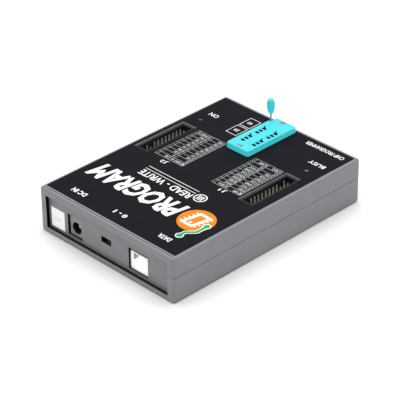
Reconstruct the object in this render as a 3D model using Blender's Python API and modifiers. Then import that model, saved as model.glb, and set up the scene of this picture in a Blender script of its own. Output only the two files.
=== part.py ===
"""A USB microcontroller programmer: a two-part plastic case, a circuit board with its
connectors, and a zero-insertion-force (ZIF) chip socket worked by a lever.

Sizes are in millimetres and become metres in the helpers. +X is to the right of a user
who reads the labels, +Y is the connector end, +Z is up. Heights are measured from the
underside of the case, and an empty lifts the whole object onto its rubber feet.
"""
import math
import bmesh
import bpy
from mathutils import Matrix, Vector

MM = 0.001
GAP = 0.3                      # room between pieces that touch

# case
CASE_W, CASE_L, CASE_H = 92.3, 126.9, 23.95
CORNER_R, TOP_BEVEL, BOTTOM_BEVEL = 2.0, 1.75, 0.8
WALL, FLOOR = 2.5, 2.5
PART_Z = 13.5                  # top edge of the lower shell
TONGUE_IN, TONGUE_H = 1.35, 1.0    # a lip on the lower shell, set in from its outside
ROOF_Z = 21.7                  # inside face of the top
CAVITY_Y = 58.7                # half length of the space inside
OPEN_X, OPEN_LOW, OPEN_HIGH = 41.9, 2.6, 20.3
GROOVE_IN, GROOVE_OUT = 59.35, 62.75
GROOVE_LOW, GROOVE_HIGH = 1.8, 21.4
PANEL_X, PANEL_LOW, PANEL_HIGH = 42.1, 2.2, 21.0
PANEL_BACK, PANEL_FRONT = 59.65, 61.45
FOOT_PROUD, FOOT_R = 0.5, 4.0
FOOT_SPOT = (38.0, 38.0)
CASE_SCREW_SPOT = (37.5, 50.0)

# printed overlay on the top
OVERLAY_X, OVERLAY_BACK, OVERLAY_FRONT, OVERLAY_T = 44.3, 60.5, -61.3, 0.45

# circuit board
BOARD_LOW, BOARD_T = 14.3, 1.6
BOARD_TOP = BOARD_LOW + BOARD_T
BOARD_X, BOARD_Y = 43.2, 57.5
ON_BOARD = BOARD_TOP + GAP     # where pieces on the board start
UNDER_BOARD = BOARD_LOW - GAP
BOARD_SCREWS = ((-36.0, 24.0), (36.0, 24.0), (-24.0, -50.0), (24.0, -50.0))

# connectors on the rear panel
USB_X, USB_W, USB_LOW, USB_FACE = -20.5, 12.0, 3.95, 60.2
JACK_X, JACK_W, JACK_LOW, JACK_FACE = 23.4, 9.0, 4.2, 60.35
JACK_BORE_Z, JACK_BORE_R = 8.5, 3.2
SWITCH_X, SWITCH_Z, SWITCH_SLOT = 1.4, 11.8, (6.7, 3.2)

# box headers: 2 rows of 10 pins
PITCH = 2.54
HEADER_COLUMNS = 10
HEADER_W, HEADER_L, HEADER_TOP, PIN_TIP = 8.8, 33.1, 23.2, 22.75
LEFT_HEADER, RIGHT_HEADER = (-34.3, -11.7), (37.6, -12.0)
LEFT_MISSING = ((1, 1),)           # (row, column from the -Y end)
RIGHT_MISSING = ((0, 8), (1, 8))

# ZIF socket
ZIF_X, ZIF_Y = (-6.5, 8.4), (-60.3, -25.3)
ZIF_LOW, ZIF_TOP, ZIF_PLATE, ZIF_SKIRT = CASE_H + GAP, 27.2, 1.5, 0.6
BASE_X, BASE_Y, BASE_TOP = (-5.6, 6.4), (-59.3, -26.2), 25.4
POCKET_X, POCKET_Y, POCKET_LOW = 5.0, (-57.5, -29.6), 23.4
ROW_X, FIRST_SLOT, SLOT_COUNT, BLANK_SLOT = 3.81, -32.7, 7, 3
SLIDE_TRAVEL = 1.0
LEVER_X, LEVER_Y, LEVER_Z = 7.75, -56.6, 24.9
KNOB_LOW, KNOB_TOP, KNOB_HALF = 30.4, 39.3, (2.65, 2.1)
LEVER_BAY_X, LEVER_BAY_Y = (6.7, 9.0), (-60.2, -54.8)
ZIF_SCREWS = ((1.1, -27.7), (1.3, -58.4))
LEDS = {"mode_led": (-34.8, -37.0), "power_led": (37.7, -36.7)}

for old in list(bpy.data.objects):
    bpy.data.objects.remove(old, do_unlink=True)

parts = bpy.data.collections.new("usb_programmer")
tools = bpy.data.collections.new("cutters")
for collection in (parts, tools):
    bpy.context.scene.collection.children.link(collection)
stand = bpy.data.objects.new("case_underside", None)
stand.location = (0, 0, FOOT_PROUD * MM)
parts.objects.link(stand)


def material(name, colour, roughness=0.5, metallic=0.0):
    made = bpy.data.materials.new(name)
    made.use_nodes = True
    shader = made.node_tree.nodes["Principled BSDF"]
    shader.inputs["Base Color"].default_value = (*colour, 1)
    shader.inputs["Roughness"].default_value = roughness
    shader.inputs["Metallic"].default_value = metallic
    return made


GREY = material("case_grey", (0.22, 0.22, 0.235), 0.5)
BLACK = material("overlay_black", (0.02, 0.02, 0.024), 0.4)
CYAN = material("socket_turquoise", (0.10, 0.72, 0.78), 0.35)
STEEL = material("bright_steel", (0.6, 0.6, 0.6), 0.25, 1.0)
GOLD = material("pale_gold", (0.72, 0.6, 0.36), 0.3, 1.0)
BOARD = material("board_green", (0.02, 0.16, 0.06), 0.4)
MOULD = material("connector_black", (0.015, 0.015, 0.015), 0.45)
JACK_GREY = material("jack_grey", (0.20, 0.20, 0.21), 0.5)
WHITE = material("insulator_white", (0.85, 0.85, 0.82), 0.4)
PAPER = material("label_paper", (0.9, 0.9, 0.9), 0.7)
RUBBER = material("foot_rubber", (0.02, 0.02, 0.02), 0.8)
LENS = material("led_lens", (0.7, 0.75, 0.65), 0.2)


def new_object(name, mesh, finish):
    """A part when it has a finish, or a cutter or joined piece when it has none."""
    piece = bpy.data.objects.new(name, mesh)
    piece.parent = stand
    if finish:
        mesh.materials.append(finish)
        parts.objects.link(piece)
    else:
        tools.objects.link(piece)
        piece.hide_render = True
        piece.display_type = 'WIRE'
    return piece


def box(name, x, y, z, finish=None, upright=0.0, rim=0.0, upright_steps=1, rim_steps=1, rim_top=True):
    """A block between pairs of limits, with its upright edges and one rim rounded."""
    bm = bmesh.new()
    bmesh.ops.create_cube(bm, size=1)
    size = Vector((x[1] - x[0], y[1] - y[0], z[1] - z[0])) * MM
    middle = Vector((x[0] + x[1], y[0] + y[1], z[0] + z[1])) * MM / 2
    bm.transform(Matrix.Diagonal((*size, 1)))
    if upright:
        edges = [e for e in bm.edges if abs(e.verts[0].co.z - e.verts[1].co.z) > size.z / 2]
        bmesh.ops.bevel(bm, geom=edges, offset=upright * MM, segments=upright_steps,
                        profile=0.5, affect='EDGES')
    if rim:
        level = size.z / 2 if rim_top else -size.z / 2
        edges = [e for e in bm.edges if all(abs(v.co.z - level) < MM * 0.01 for v in e.verts)]
        bmesh.ops.bevel(bm, geom=edges, offset=rim * MM, segments=rim_steps,
                        profile=0.5, affect='EDGES')
    mesh = bpy.data.meshes.new(name)
    bm.to_mesh(mesh)
    bm.free()
    piece = new_object(name, mesh, finish)
    piece.location = middle
    return piece


def cylinder(name, centre, radius, low, high, finish=None, along='Z', sides=16, tip=None):
    """A round bar along one axis; tip is the radius of its high end."""
    bm = bmesh.new()
    bmesh.ops.create_cone(bm, cap_ends=True, segments=sides, radius1=radius * MM,
                          radius2=(radius if tip is None else tip) * MM, depth=(high - low) * MM)
    middle = (low + high) / 2
    turn = {'Z': Matrix(), 'X': Matrix.Rotation(math.pi / 2, 4, 'Y'),
            'Y': Matrix.Rotation(-math.pi / 2, 4, 'X')}[along]
    place = {'Z': (centre[0], centre[1], middle), 'X': (middle, centre[0], centre[1]),
             'Y': (centre[0], middle, centre[1])}[along]
    bm.transform(turn)
    mesh = bpy.data.meshes.new(name)
    bm.to_mesh(mesh)
    bm.free()
    mesh.shade_smooth()
    mesh.set_sharp_from_angle(angle=math.radians(40))
    piece = new_object(name, mesh, finish)
    piece.location = Vector(place) * MM
    return piece


def turned(name, profile, place, finish, steps=20):
    """A turned shape about Z; the profile is (radius, height) from top to bottom."""
    bm = bmesh.new()
    rings = [bm.verts.new((r * MM, 0, z * MM)) for r, z in profile]
    for upper, lower in zip(rings, rings[1:]):
        bm.edges.new((upper, lower))
    mesh = bpy.data.meshes.new(name)
    bm.to_mesh(mesh)
    bm.free()
    piece = new_object(name, mesh, finish)
    piece.location = Vector(place) * MM
    screw = piece.modifiers.new("turn", 'SCREW')
    screw.steps = steps
    screw.render_steps = steps
    screw.use_merge_vertices = True
    screw.merge_threshold = 0.00001
    return piece


def cut(piece, *cutters):
    for cutter in cutters:
        step = piece.modifiers.new(cutter.name, 'BOOLEAN')
        step.operation = 'DIFFERENCE'
        step.object = cutter
    return piece


def join(piece, *others):
    for other in others:
        step = piece.modifiers.new(other.name, 'BOOLEAN')
        step.operation = 'UNION'
        step.object = other
    return piece


def span(middle, size):
    return (middle - size / 2, middle + size / 2)


def corners(spot):
    return [(sx * spot[0], sy * spot[1]) for sy in (-1, 1) for sx in (-1, 1)]


def end_cuts(name, low, high, groove_low, groove_high):
    """The opening and the panel groove at each end of a shell."""
    cutters = []
    for side in (-1, 1):
        opening = sorted((side * (CAVITY_Y - 1), side * (CASE_L / 2 + 1)))
        groove = sorted((side * GROOVE_IN, side * GROOVE_OUT))
        cutters.append(box(f"{name}_opening_{side}", (-OPEN_X, OPEN_X), opening, (low, high)))
        cutters.append(box(f"{name}_groove_{side}", span(0, CASE_W - 2 * WALL), groove,
                           (groove_low, groove_high)))
    return cutters


def make_bottom_shell():
    shell = box("bottom_shell", span(0, CASE_W), span(0, CASE_L), (0, PART_Z), GREY,
                CORNER_R, BOTTOM_BEVEL, 4, 2, rim_top=False)
    join(shell, box("tongue", span(0, CASE_W - 2 * TONGUE_IN), span(0, CASE_L - 2 * TONGUE_IN),
                    (PART_Z - 1, PART_Z + TONGUE_H)))
    cut(shell, box("bottom_cavity", span(0, CASE_W - 2 * WALL), span(0, 2 * CAVITY_Y),
                   (FLOOR, PART_Z + 2)))
    cut(shell, *end_cuts("bottom", OPEN_LOW, PART_Z + 2, GROOVE_LOW, PART_Z + 2))
    for i, spot in enumerate(corners(CASE_SCREW_SPOT)):
        join(shell, cylinder(f"case_post_{i}", spot, 4.0, FLOOR - 0.5, 13.2))
        cut(shell, cylinder(f"case_screw_bore_{i}", spot, 1.7, -1, 14),
            cylinder(f"case_screw_seat_{i}", spot, 3.1, -1, 6.0))
    for i, spot in enumerate(BOARD_SCREWS):
        join(shell, cylinder(f"board_post_{i}", spot, 3.3, FLOOR - 0.5, UNDER_BOARD, sides=12))
        cut(shell, cylinder(f"board_post_bore_{i}", spot, 1.5, 8.0, 15, sides=12))
    for i, spot in enumerate(corners(FOOT_SPOT)):
        cut(shell, cylinder(f"foot_recess_{i}", spot, FOOT_R + 0.4, -1, 0.8))
    return shell


def top_windows(name, low, high, led_r):
    """The holes through the top for the socket, the lever, the headers and the lamps."""
    windows = [
        box(f"{name}_socket_window", (-6.0, 7.9), (-59.65, -25.8), (low, high)),
        box(f"{name}_lever_window", LEVER_BAY_X, LEVER_BAY_Y, (low, high)),
    ]
    for side, (x, y) in (("left", LEFT_HEADER), ("right", RIGHT_HEADER)):
        windows.append(box(f"{name}_{side}_window", span(x, HEADER_W + 0.5),
                           span(y, HEADER_L + 0.6), (low, high)))
    for led, spot in LEDS.items():
        windows.append(cylinder(f"{name}_{led}_window", spot, led_r, low, high))
    return windows


def make_top_shell():
    shell = box("top_shell", span(0, CASE_W), span(0, CASE_L), (PART_Z + GAP, CASE_H), GREY,
                CORNER_R, TOP_BEVEL, 4, 3)
    rebate = 2 * (TONGUE_IN - GAP)
    cut(shell, box("tongue_rebate", span(0, CASE_W - rebate), span(0, CASE_L - rebate),
                   (PART_Z - 1, PART_Z + TONGUE_H + GAP)))
    cut(shell, box("top_cavity", span(0, CASE_W - 2 * WALL), span(0, 2 * CAVITY_Y),
                   (PART_Z - 1, ROOF_Z)))
    cut(shell, *end_cuts("top", PART_Z - 1, OPEN_HIGH, PART_Z - 1, GROOVE_HIGH))
    cut(shell, box("overlay_recess", span(0, 2 * (OVERLAY_X + GAP)),
                   (OVERLAY_FRONT - GAP, OVERLAY_BACK + GAP),
                   (CASE_H - OVERLAY_T - GAP, CASE_H + 1)))
    cut(shell, box("rear_line", span(0, 2 * OVERLAY_X), span(61.75, 0.35), (CASE_H - 0.4, CASE_H + 1)))
    cut(shell, *top_windows("shell", ROOF_Z - 2.5, CASE_H + 2, 1.9))
    for i, spot in enumerate(corners(CASE_SCREW_SPOT)):
        join(shell, cylinder(f"case_boss_{i}", spot, 3.8, PART_Z, ROOF_Z + 0.5))
        cut(shell, cylinder(f"case_boss_bore_{i}", spot, 1.5, PART_Z - 1, 20.0))
    return shell


def make_overlay():
    overlay = box("top_overlay", span(0, 2 * OVERLAY_X), (OVERLAY_FRONT, OVERLAY_BACK),
                  (CASE_H - OVERLAY_T, CASE_H), BLACK, 0.6, upright_steps=2)
    return cut(overlay, *top_windows("overlay", CASE_H - 2, CASE_H + 2, 1.3))


def make_rear_panel():
    panel = box("rear_panel", span(0, 2 * PANEL_X), (PANEL_BACK, PANEL_FRONT),
                (PANEL_LOW, PANEL_HIGH), GREY)
    through = (PANEL_BACK - 1, PANEL_FRONT + 1)
    return cut(panel,
               box("usb_cutout", span(USB_X, USB_W + 0.8), through, (3.9 - 0.35, 15.5)),
               box("jack_cutout", span(JACK_X, 10.0), through, (3.9, 15.3)),
               box("switch_cutout", span(SWITCH_X, SWITCH_SLOT[0]), through,
                   span(SWITCH_Z, SWITCH_SLOT[1])))


def make_front_panel():
    return box("front_panel", span(0, 2 * PANEL_X), (-PANEL_FRONT, -PANEL_BACK),
               (PANEL_LOW, PANEL_HIGH), GREY, rim=0.3)


def screw_piece(name, spot, head_r, head_z, shank_r, shank_z, finish, slot_w, cross=False):
    """A screw with a slotted or crossed head; its shank runs on from the head's flat side."""
    screw = cylinder(name, spot, head_r, *head_z, finish)
    join(screw, cylinder(f"{name}_shank", spot, shank_r, *shank_z, sides=10))
    up = head_z[1] > shank_z[1]
    face = head_z[1] if up else head_z[0]
    depth = (face - 0.6, face + 1) if up else (face - 1, face + 0.6)
    long = head_r * (1.3 if cross else 3)
    cut(screw, box(f"{name}_slot", span(spot[0], long), span(spot[1], slot_w), depth))
    if cross:
        cut(screw, box(f"{name}_slot_2", span(spot[0], slot_w), span(spot[1], long), depth))
    return screw


def make_fasteners_and_feet():
    for i, spot in enumerate(corners(CASE_SCREW_SPOT), 1):
        screw_piece(f"case_screw_{i}", spot, 2.7, (3.8, 5.7), 1.2, (5.2, 18.5), STEEL, 0.7, True)
    for i, spot in enumerate(corners(FOOT_SPOT), 1):
        turned(f"foot_{i}", [(0, 0.5), (FOOT_R, 0.5), (FOOT_R, -0.2), (FOOT_R - 0.3, -FOOT_PROUD),
                             (0, -FOOT_PROUD)], (*spot, 0), RUBBER)
    for i, spot in enumerate(BOARD_SCREWS, 1):
        screw_piece(f"board_screw_{i}", spot, 2.7, (ON_BOARD, ON_BOARD + 1.8), 1.15,
                    (9.0, ON_BOARD + 0.5), STEEL, 0.7, True)


def make_board():
    board = box("circuit_board", span(0, 2 * BOARD_X), span(0, 2 * BOARD_Y),
                (BOARD_LOW, BOARD_TOP), BOARD, 1.0)
    for i, spot in enumerate(corners(CASE_SCREW_SPOT)):
        cut(board, cylinder(f"board_boss_hole_{i}", spot, 4.3, BOARD_LOW - 1, BOARD_TOP + 1))
    for i, spot in enumerate(BOARD_SCREWS):
        cut(board, cylinder(f"board_screw_hole_{i}", spot, 1.6, BOARD_LOW - 1, BOARD_TOP + 1, sides=12))
    return board


def make_usb():
    shell = box("usb_shell", span(USB_X, USB_W), (44.2, USB_FACE), (USB_LOW, UNDER_BOARD), STEEL)
    cut(shell, box("usb_shell_inside", span(USB_X, USB_W - 0.8), (44.6, USB_FACE + 1),
                   (USB_LOW + 0.4, UNDER_BOARD - 0.4)))
    low, high = USB_LOW + 0.7, UNDER_BOARD - 0.7
    insert = box("usb_insulator", span(USB_X, USB_W - 1.4), (44.9, USB_FACE - 0.15), (low, high), WHITE)
    mouth = box("usb_mouth", span(USB_X, 8.5), span(0, 7.8), (0, 9.2), None, 1.6)
    flat_top = box("usb_mouth_top", span(USB_X, 8.5), (51.0, USB_FACE + 1),
                   ((low + high) / 2, (low + high) / 2 + 3.9))
    mouth.rotation_euler = (math.pi / 2, 0, 0)
    mouth.location = Vector((USB_X, USB_FACE + 0.2 - 4.6, (low + high) / 2)) * MM
    tongue = box("usb_tongue", span(USB_X, 5.6), (50.0, USB_FACE - 1.0), span((low + high) / 2, 3.2))
    cut(insert, mouth, flat_top)
    join(insert, tongue)


def make_dc_jack():
    body = box("dc_jack_body", span(JACK_X, JACK_W), (46.0, JACK_FACE), (JACK_LOW, UNDER_BOARD), JACK_GREY)
    centre = (JACK_X, JACK_BORE_Z)
    cut(body, cylinder("jack_bore", centre, JACK_BORE_R, 50.0, JACK_FACE + 1, along='Y', sides=24),
        cylinder("jack_pin_hole", centre, 1.35, 45.0, 51.0, along='Y', sides=12),
        box("jack_spring_slot", span(JACK_X, 2.6), (45.0, 51.0), (5.6, 6.8)))
    pin = cylinder("dc_jack_pin", centre, 1.0, 45.6, 57.8, STEEL, along='Y', sides=12)
    join(pin, cylinder("jack_pin_nose", centre, 0.97, 57.6, 58.5, along='Y', sides=12, tip=0.4))
    spring = box("dc_jack_spring", span(JACK_X, 1.8), (45.6, 57.0), (5.95, 6.25), STEEL)
    join(spring, box("spring_dimple", span(JACK_X, 1.0), (55.0, 56.2), (6.2, 6.6)))


def make_switch():
    slot_z = span(SWITCH_Z, 2.9)
    frame = box("switch_frame", span(SWITCH_X, 9.2), (53.6, 58.6), (9.2, UNDER_BOARD), STEEL, 0.3)
    cut(frame, box("frame_inside", span(SWITCH_X, 8.4), (52.0, 58.2), (9.6, UNDER_BOARD - 0.4)),
        box("frame_slot", span(SWITCH_X, 6.5), (57.0, 60.0), slot_z))
    box("switch_base", span(SWITCH_X, 7.8), (53.2, 54.6), (9.9, UNDER_BOARD - 0.7), MOULD)
    slider = box("switch_slider", span(SWITCH_X - 1.5, 3.1), (56.0, 60.9), span(SWITCH_Z, 2.3), MOULD)
    join(slider, box("slider_foot", span(SWITCH_X - 1.5, 4.4), (55.2, 57.8), span(SWITCH_Z, 2.6)))


def header_spots(centre):
    """(row, column, x, y) of each pin, counted from the -X row and the -Y end."""
    return [(row, column, centre[0] + (row - 0.5) * PITCH,
             centre[1] + (column - (HEADER_COLUMNS - 1) / 2) * PITCH)
            for row in (0, 1) for column in range(HEADER_COLUMNS)]


def make_header(side, centre, missing):
    x, y = centre
    body = box(f"{side}_header_body", span(x, HEADER_W), span(y, HEADER_L), (ON_BOARD, HEADER_TOP), MOULD)
    cut(body, box(f"{side}_header_hollow", span(x, HEADER_W - 2.4), span(y, HEADER_L - 2.4),
                  (ON_BOARD + 1.2, HEADER_TOP + 1)),
        box(f"{side}_header_key", span(x - HEADER_W / 2, 3.4), span(y, 4.5),
            (HEADER_TOP - 3.5, HEADER_TOP + 1)))
    web = (ON_BOARD + 1.5, ON_BOARD + 1.9)
    pins = box(f"{side}_header_pins", span(x, PITCH + 0.9), span(y, (HEADER_COLUMNS - 1) * PITCH + 0.9),
               web, GOLD)
    for row, column, pin_x, pin_y in header_spots(centre):
        if (row, column) not in missing:
            join(pins, box(f"{side}_pin_{row}_{column}", span(pin_x, 0.64), span(pin_y, 0.64),
                           (web[1] - 0.2, PIN_TIP)))


def slot_places():
    return [FIRST_SLOT - PITCH * i for i in range(SLOT_COUNT)]


def make_zif_base():
    base = box("zif_base", BASE_X, BASE_Y, (ON_BOARD, BASE_TOP), CYAN)
    cut(base, box("slide_pocket", span(0, 2 * POCKET_X), POCKET_Y, (POCKET_LOW, BASE_TOP + 1)),
        box("shaft_groove", (POCKET_X - 0.1, BASE_X[1] + 1), span(LEVER_Y, 1.8), (24.0, BASE_TOP + 1)))
    ends = (slot_places()[-1] - 1.6, slot_places()[0] + 1.6)
    for row in (-1, 1):
        cut(base, box(f"contact_channel_{row}", span(row * ROW_X, 1.9), ends,
                      (ON_BOARD - 1, POCKET_LOW + 0.5)))
    for i, spot in enumerate(ZIF_SCREWS):
        cut(base, cylinder(f"base_screw_bore_{i}", spot, 0.75, 20.0, BASE_TOP + 1, sides=12))


def make_zif_cover():
    cover = box("zif_cover", ZIF_X, ZIF_Y, (ZIF_LOW, ZIF_TOP), CYAN, 0.9, 0.35, 2, 2)
    inside_x = (ZIF_X[0] + ZIF_SKIRT, ZIF_X[1] - ZIF_SKIRT)
    inside_y = (ZIF_Y[0] + ZIF_SKIRT, ZIF_Y[1] - ZIF_SKIRT)
    cut(cover, box("cover_inside", inside_x, inside_y, (ZIF_LOW - 1, ZIF_TOP - ZIF_PLATE)),
        box("lever_notch", (LEVER_BAY_X[0], ZIF_X[1] + 1), (ZIF_Y[0] - 1, -55.2),
            (ZIF_LOW - 1, ZIF_TOP + 1)))
    for row in (-1, 1):
        for i, y in enumerate(slot_places()):
            if i != BLANK_SLOT:
                cut(cover, box(f"pin_slot_{row}_{i}", span(row * ROW_X, 1.4), span(y, 1.0),
                               (ZIF_TOP - 3, ZIF_TOP + 1)))
    for i, spot in enumerate(ZIF_SCREWS):
        cut(cover, cylinder(f"cover_screw_bore_{i}", spot, 0.75, ZIF_TOP - 3, ZIF_TOP + 1, sides=12),
            cylinder(f"cover_screw_seat_{i}", spot, 1.5, ZIF_TOP - 0.8, ZIF_TOP + 1))
        screw_piece(f"zif_screw_{i + 1}", spot, 1.2, (ZIF_TOP - 0.5, ZIF_TOP + 0.1), 0.45,
                    (20.6, ZIF_TOP - 0.3), STEEL, 0.35)


def make_zif_slide():
    slide = box("zif_slide", span(0, 9.4), (-55.0, -30.9), (POCKET_LOW + GAP, BASE_TOP - 0.1), CYAN)
    ends = (slot_places()[-1] - 1.0, slot_places()[0] + 1.0)
    for row in (-1, 1):
        cut(slide, box(f"slide_slot_{row}", span(row * ROW_X, 1.0), ends,
                       (POCKET_LOW - 1, BASE_TOP + 1)))


def make_zif_contacts():
    for side, row in (("left", -1), ("right", 1)):
        strip = box(f"zif_contacts_{side}", span(row * ROW_X, 0.8),
                    (slot_places()[-1] - 0.9, slot_places()[0] + 0.9), (ON_BOARD, 17.2), GOLD)
        for i, y in enumerate(slot_places()):
            join(strip, box(f"contact_{side}_{i}", span(row * ROW_X, 0.5), span(y, 1.1), (17.0, 23.1)))


def make_zif_lever():
    """The lever stands on its joint's axis, which runs along X through the shaft."""
    axis = (LEVER_Y, LEVER_Z)
    lever = cylinder("zif_lever", axis, 0.55, -4.6, 7.4, STEEL, along='X', sides=12)
    stem = cylinder("lever_stem", (LEVER_X, LEVER_Y), 0.5, LEVER_Z, KNOB_LOW + 4.5, sides=10)
    hub = cylinder("lever_hub", axis, 1.2, 7.2, 8.3, along='X', sides=16)
    join(lever, hub, stem)
    cut(lever, box("cam_flat", (-2.0, 2.0), (LEVER_Y + 0.25, LEVER_Y + 1), (24.0, 26.0)))
    half_x, half_y = KNOB_HALF
    height = KNOB_TOP - KNOB_LOW
    outline = []
    steps = 14
    for i in range(steps + 1):
        turn = math.pi * i / steps
        taper = 1 - 0.25 * (1 - math.cos(turn)) / 2
        outline.append((max(0.0, math.sin(turn)) ** 0.75 * taper, height * (1 + math.cos(turn)) / 2))
    outline[0], outline[-1] = (0, height), (0, 0)
    knob = turned("zif_knob", outline, (LEVER_X, LEVER_Y, KNOB_LOW), CYAN, 16)
    knob.data.transform(Matrix.Diagonal((half_x, 1, 1, 1)))
    squeeze = knob.modifiers.new("oval", 'LATTICE')
    frame = bpy.data.lattices.new("knob_lattice")
    cage = bpy.data.objects.new("knob_cage", frame)
    tools.objects.link(cage)
    cage.hide_render = True
    cage.parent = stand
    cage.location = Vector((LEVER_X, LEVER_Y, (KNOB_LOW + KNOB_TOP) / 2)) * MM
    cage.scale = (2 * half_x * MM, 2 * half_x * MM, height * MM)
    for point in frame.points:
        point.co_deform.y *= half_y / half_x
    squeeze.object = cage
    cut(knob, cylinder("knob_bore", (LEVER_X, LEVER_Y), 0.82, KNOB_LOW - 1, KNOB_LOW + 5.0, sides=12))


def make_chip(name, centre, size, notch_r):
    """A chip body on the board, with the half-round notch at its pin 1 end."""
    x, y = centre
    body = box(name, span(x, size[0]), span(y, size[1]), (ON_BOARD, ON_BOARD + size[2]), MOULD, rim=0.25)
    cut(body, cylinder(f"{name}_notch", (x - size[0] / 2, y), notch_r, ON_BOARD + size[2] - 0.5,
                       ON_BOARD + size[2] + 1, sides=12))


def make_board_parts():
    make_chip("controller_chip", (2.0, 28.0), (34.6, 7.2, 3.3), 1.2)
    make_chip("interface_chip", (-14.0, 12.0), (9.9, 6.0, 1.7), 0.7)
    box("crystal", span(25.5, 4.6), span(12.0, 11.0), (ON_BOARD, ON_BOARD + 3.5), STEEL, 2.2, 0.4, 3)
    box("voltage_regulator", span(27.0, 6.5), span(40.0, 6.1), (ON_BOARD, ON_BOARD + 2.3), MOULD, rim=0.3)
    for i, spot in enumerate(((-8.0, 44.0), (6.0, 44.0), (-22.0, 0.0)), 1):
        r = 3.15
        turned(f"capacitor_{i}", [(0, 5.3), (r - 0.3, 5.3), (r, 5.0), (r, 1.1), (r - 0.25, 0.8), (r, 0.5),
                                  (r, 0), (0, 0)], (*spot, ON_BOARD), STEEL)
    turned("inductor", [(0, 4.6), (3.9, 4.6), (3.9, 3.9), (2.6, 3.6), (2.6, 1.0), (3.9, 0.7), (3.9, 0),
                        (0, 0)], (18.0, -14.0, ON_BOARD), MOULD)
    for name, spot in LEDS.items():
        turned(name, [(0, 6.9), (0.8, 6.7), (1.3, 6.2), (1.5, 5.4), (1.5, 1.0), (1.9, 1.0), (1.9, 0), (0, 0)],
               (*spot, ON_BOARD), LENS, 16)


make_bottom_shell()
make_top_shell()
make_overlay()
make_rear_panel()
make_front_panel()
box("serial_sticker", (30.8, 40.2), (PANEL_FRONT + GAP, PANEL_FRONT + GAP + 0.15), (3.9, 14.4), PAPER)
make_fasteners_and_feet()
make_board()
make_usb()
make_dc_jack()
make_switch()
make_header("left", LEFT_HEADER, LEFT_MISSING)
make_header("right", RIGHT_HEADER, RIGHT_MISSING)
make_zif_base()
make_zif_cover()
make_zif_slide()
make_zif_contacts()
make_zif_lever()
make_board_parts()
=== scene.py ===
"""The finished look of a USB microcontroller programmer, built piece by piece round its
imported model, in the order in which it is put together. Lengths are in millimetres."""
import math

import bmesh
import bpy
from mathutils import Matrix, Vector


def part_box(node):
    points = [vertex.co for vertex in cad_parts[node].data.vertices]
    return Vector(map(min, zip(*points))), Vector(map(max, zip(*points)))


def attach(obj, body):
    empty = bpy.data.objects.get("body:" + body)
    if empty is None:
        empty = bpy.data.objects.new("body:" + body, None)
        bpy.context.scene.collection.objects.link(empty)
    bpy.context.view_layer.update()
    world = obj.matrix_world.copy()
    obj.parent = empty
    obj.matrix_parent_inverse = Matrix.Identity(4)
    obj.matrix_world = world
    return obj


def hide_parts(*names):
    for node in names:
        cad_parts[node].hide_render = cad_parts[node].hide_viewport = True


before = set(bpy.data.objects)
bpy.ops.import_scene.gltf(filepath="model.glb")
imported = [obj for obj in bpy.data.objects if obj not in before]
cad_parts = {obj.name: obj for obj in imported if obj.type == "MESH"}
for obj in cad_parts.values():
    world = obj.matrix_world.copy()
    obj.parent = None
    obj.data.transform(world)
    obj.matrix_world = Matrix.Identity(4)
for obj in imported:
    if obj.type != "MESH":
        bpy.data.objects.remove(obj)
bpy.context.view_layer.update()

# ---------------------------------------------------------------------------------------
# Lower shell. Injection-moulded grey ABS with a fine matt texture, 2.5 mm thick. A thin lip
# stands up inside its rim to meet the upper shell, and each end has a groove for a panel.
MM = 0.001
CASE = "case"


def room(node):
    """A solid's limits along X, Y and Z, in millimetres."""
    low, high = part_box(node)
    return [(low[i] / MM, high[i] / MM) for i in range(3)]


def span(middle, size):
    """The limits of a size laid out evenly about its middle."""
    return (middle - size / 2, middle + size / 2)


def block(x, y, z, upright=0.0, top=0.0, bottom=0.0, steps=6, taper=0.0):
    """A moulded block between limits: rounded corners, rounded rims and a little draft."""
    bm = bmesh.new()
    bmesh.ops.create_cube(bm, size=1)
    for v in bm.verts:
        inset = taper if v.co.z > 0 else 0
        v.co = Vector((x[0] + inset if v.co.x < 0 else x[1] - inset,
                       y[0] + inset if v.co.y < 0 else y[1] - inset,
                       z[0] if v.co.z < 0 else z[1])) * MM
    half = (z[0] + z[1]) / 2 * MM
    if upright:
        edges = [e for e in bm.edges if (e.verts[0].co.z - half) * (e.verts[1].co.z - half) < 0]
        bmesh.ops.bevel(bm, geom=edges, offset=upright * MM, segments=steps, profile=0.5, affect='EDGES')
    for radius, level in ((top, z[1]), (bottom, z[0])):
        if radius:
            rim = [e for e in bm.edges if all(abs(v.co.z - level * MM) < 1e-6 for v in e.verts)]
            bmesh.ops.bevel(bm, geom=rim, offset=radius * MM, segments=steps, profile=0.5, affect='EDGES')
    return bm


def rod(place, radius, low, high, along='Z', sides=32, end=None):
    """A round bar; end is its radius at the high end."""
    bm = bmesh.new()
    bmesh.ops.create_cone(bm, cap_ends=True, segments=sides, radius1=radius * MM,
                          radius2=(radius if end is None else end) * MM, depth=(high - low) * MM)
    middle = (low + high) / 2
    turn, spot = {
        'Z': (Matrix(), (place[0], place[1], middle)),
        'X': (Matrix.Rotation(math.pi / 2, 4, 'Y'), (middle, place[0], place[1])),
        'Y': (Matrix.Rotation(-math.pi / 2, 4, 'X'), (place[0], middle, place[1])),
    }[along]
    bm.transform(Matrix.Translation(Vector(spot) * MM) @ turn)
    return bm


def as_object(name, bm):
    """A new object in the scene from a drawn shape."""
    mesh = bpy.data.meshes.new(name)
    bm.to_mesh(mesh)
    bm.free()
    piece = bpy.data.objects.new(name, mesh)
    bpy.context.scene.collection.objects.link(piece)
    return piece


def settle(piece):
    """Makes the modifiers' result the piece's own mesh."""
    graph = bpy.context.evaluated_depsgraph_get()
    mesh = bpy.data.meshes.new_from_object(piece.evaluated_get(graph))
    piece.modifiers.clear()
    piece.data = mesh


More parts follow.
